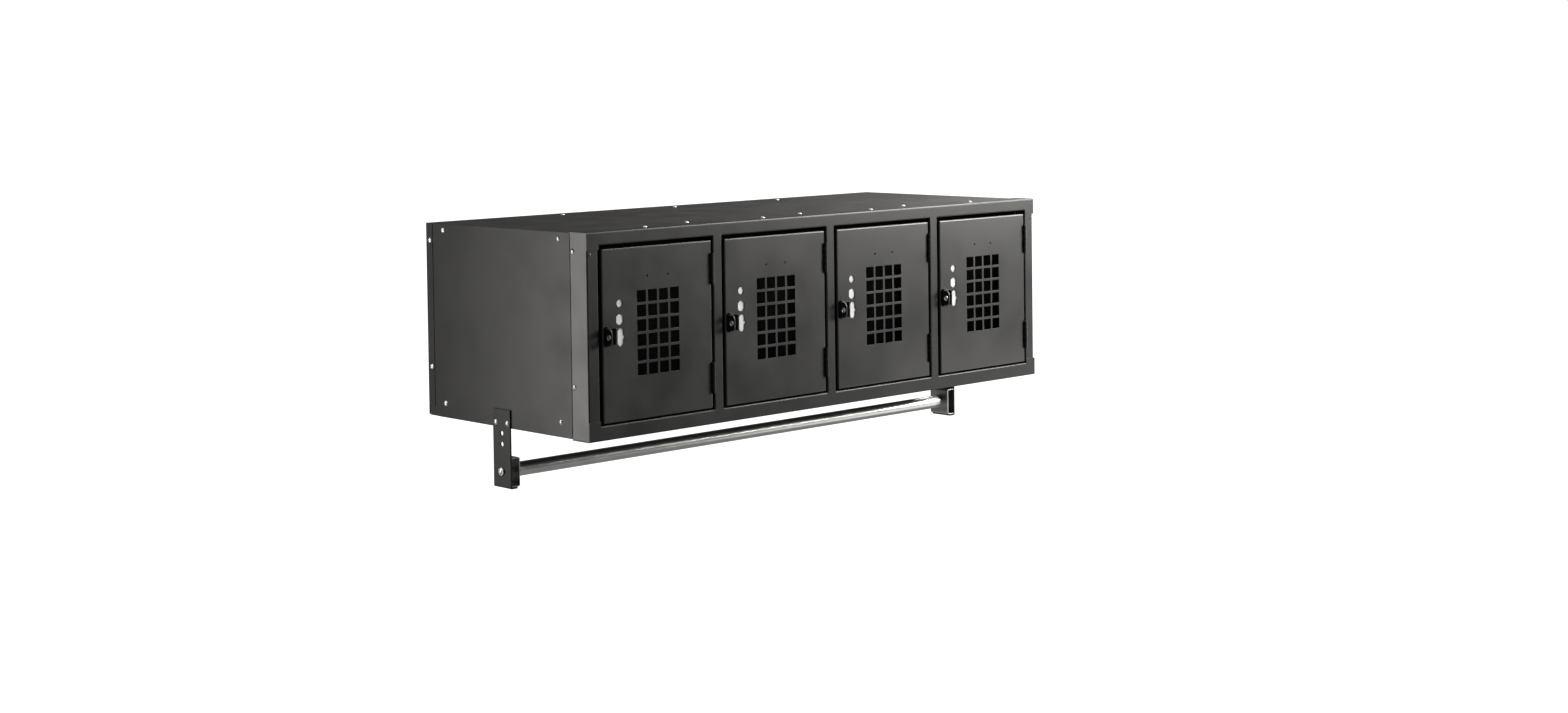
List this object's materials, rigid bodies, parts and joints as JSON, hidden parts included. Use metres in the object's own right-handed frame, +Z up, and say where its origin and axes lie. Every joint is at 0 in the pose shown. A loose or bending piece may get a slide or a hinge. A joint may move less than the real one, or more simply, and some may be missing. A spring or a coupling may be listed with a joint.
{
  "type": "wall-mounted box locker with coat rod",
  "caption": "Wall-hung black steel box locker: a row of hinged vented doors with padlock pulls, and a round coat rod hung below between two side brackets.",
  "frame": {"origin": "centre of the wall bolt pattern on the rear face of the back panel", "axes": "+X to the right as seen by someone facing the doors, +Y backwards into the wall, +Z up; the doors face -Y"},
  "size_m": [1.1622, 0.4762, 0.4572],
  "materials": {
    "carcass_paint": "black powder coat, fine orange peel, satin",
    "frame_paint": "black powder coat, fine orange peel, satin",
    "door_paint": "black powder coat, fine orange peel, satin",
    "hinge_paint": "black powder coat, semi-gloss, worn at the knuckles",
    "hanger_paint": "black powder coat on flat bar, satin",
    "pull_black": "black enamel, semi-gloss, rubbed at the edges",
    "zinc_plate": "bright zinc plate",
    "bracket_zinc": "bright zinc plate on pressed steel",
    "bright_steel": "plated steel, satin",
    "screw_zinc": "bright zinc plate",
    "rod_steel": "satin plated tube, drawn lengthwise",
    "bumper_rubber": "moulded black rubber, matt"
  },
  "bodies": {
    "cabinet": {"left_side_panel": "carcass_paint", "right_side_panel": "carcass_paint", "back_panel": "carcass_paint", "top_panel": "carcass_paint", "bottom_panel": "carcass_paint", "partition_1": "carcass_paint", "partition_2": "carcass_paint", "partition_3": "carcass_paint", "top_rail": "frame_paint", "bottom_rail": "frame_paint", "left_stile": "frame_paint", "right_stile": "frame_paint", "frame_rivets": "frame_paint", "door_bumpers": "bumper_rubber", "mullion_1": "frame_paint", "mullion_2": "frame_paint", "mullion_3": "frame_paint", "hinge_pins": "hinge_paint", "padlock_staple_1": "pull_black", "hinge_frame_leaves_1": "hinge_paint", "padlock_staple_2": "pull_black", "hinge_frame_leaves_2": "hinge_paint", "padlock_staple_3": "pull_black", "hinge_frame_leaves_3": "hinge_paint", "padlock_staple_4": "pull_black", "hinge_frame_leaves_4": "hinge_paint", "coat_rod": "rod_steel", "left_hanger_plate": "hanger_paint", "left_rod_bracket": "bracket_zinc", "right_hanger_plate": "hanger_paint", "right_rod_bracket": "bracket_zinc", "rod_end_plugs": "bright_steel", "rod_bolts": "bright_steel", "left_side_screws": "screw_zinc", "right_side_screws": "screw_zinc", "top_screws": "screw_zinc", "bottom_screws": "screw_zinc", "hanger_screws": "screw_zinc", "screw_nuts": "screw_zinc"},
    "door_body_1": {"door_1": "door_paint", "lock_plate_1": "zinc_plate", "door_pull_1": "pull_black", "pull_rivet_1": "bright_steel", "hinge_door_leaves_1": "hinge_paint"},
    "door_body_2": {"door_2": "door_paint", "lock_plate_2": "zinc_plate", "door_pull_2": "pull_black", "pull_rivet_2": "bright_steel", "hinge_door_leaves_2": "hinge_paint"},
    "door_body_3": {"door_3": "door_paint", "lock_plate_3": "zinc_plate", "door_pull_3": "pull_black", "pull_rivet_3": "bright_steel", "hinge_door_leaves_3": "hinge_paint"},
    "door_body_4": {"door_4": "door_paint", "lock_plate_4": "zinc_plate", "door_pull_4": "pull_black", "pull_rivet_4": "bright_steel", "hinge_door_leaves_4": "hinge_paint"}
  },
  "joints": [
    {"name": "door_1_hinge", "type": "hinge", "parent": "cabinet", "child": "door_body_1", "pos_m": [-0.29395, -0.459, 0.0017], "axis": [0, 0, 1], "range_deg": [0, 135]},
    {"name": "door_2_hinge", "type": "hinge", "parent": "cabinet", "child": "door_body_2", "pos_m": [-0.0142, -0.459, 0.0017], "axis": [0, 0, 1], "range_deg": [0, 135]},
    {"name": "door_3_hinge", "type": "hinge", "parent": "cabinet", "child": "door_body_3", "pos_m": [0.26555, -0.459, 0.0017], "axis": [0, 0, 1], "range_deg": [0, 135]},
    {"name": "door_4_hinge", "type": "hinge", "parent": "cabinet", "child": "door_body_4", "pos_m": [0.5453, -0.459, 0.0017], "axis": [0, 0, 1], "range_deg": [0, 170]}
  ]
}
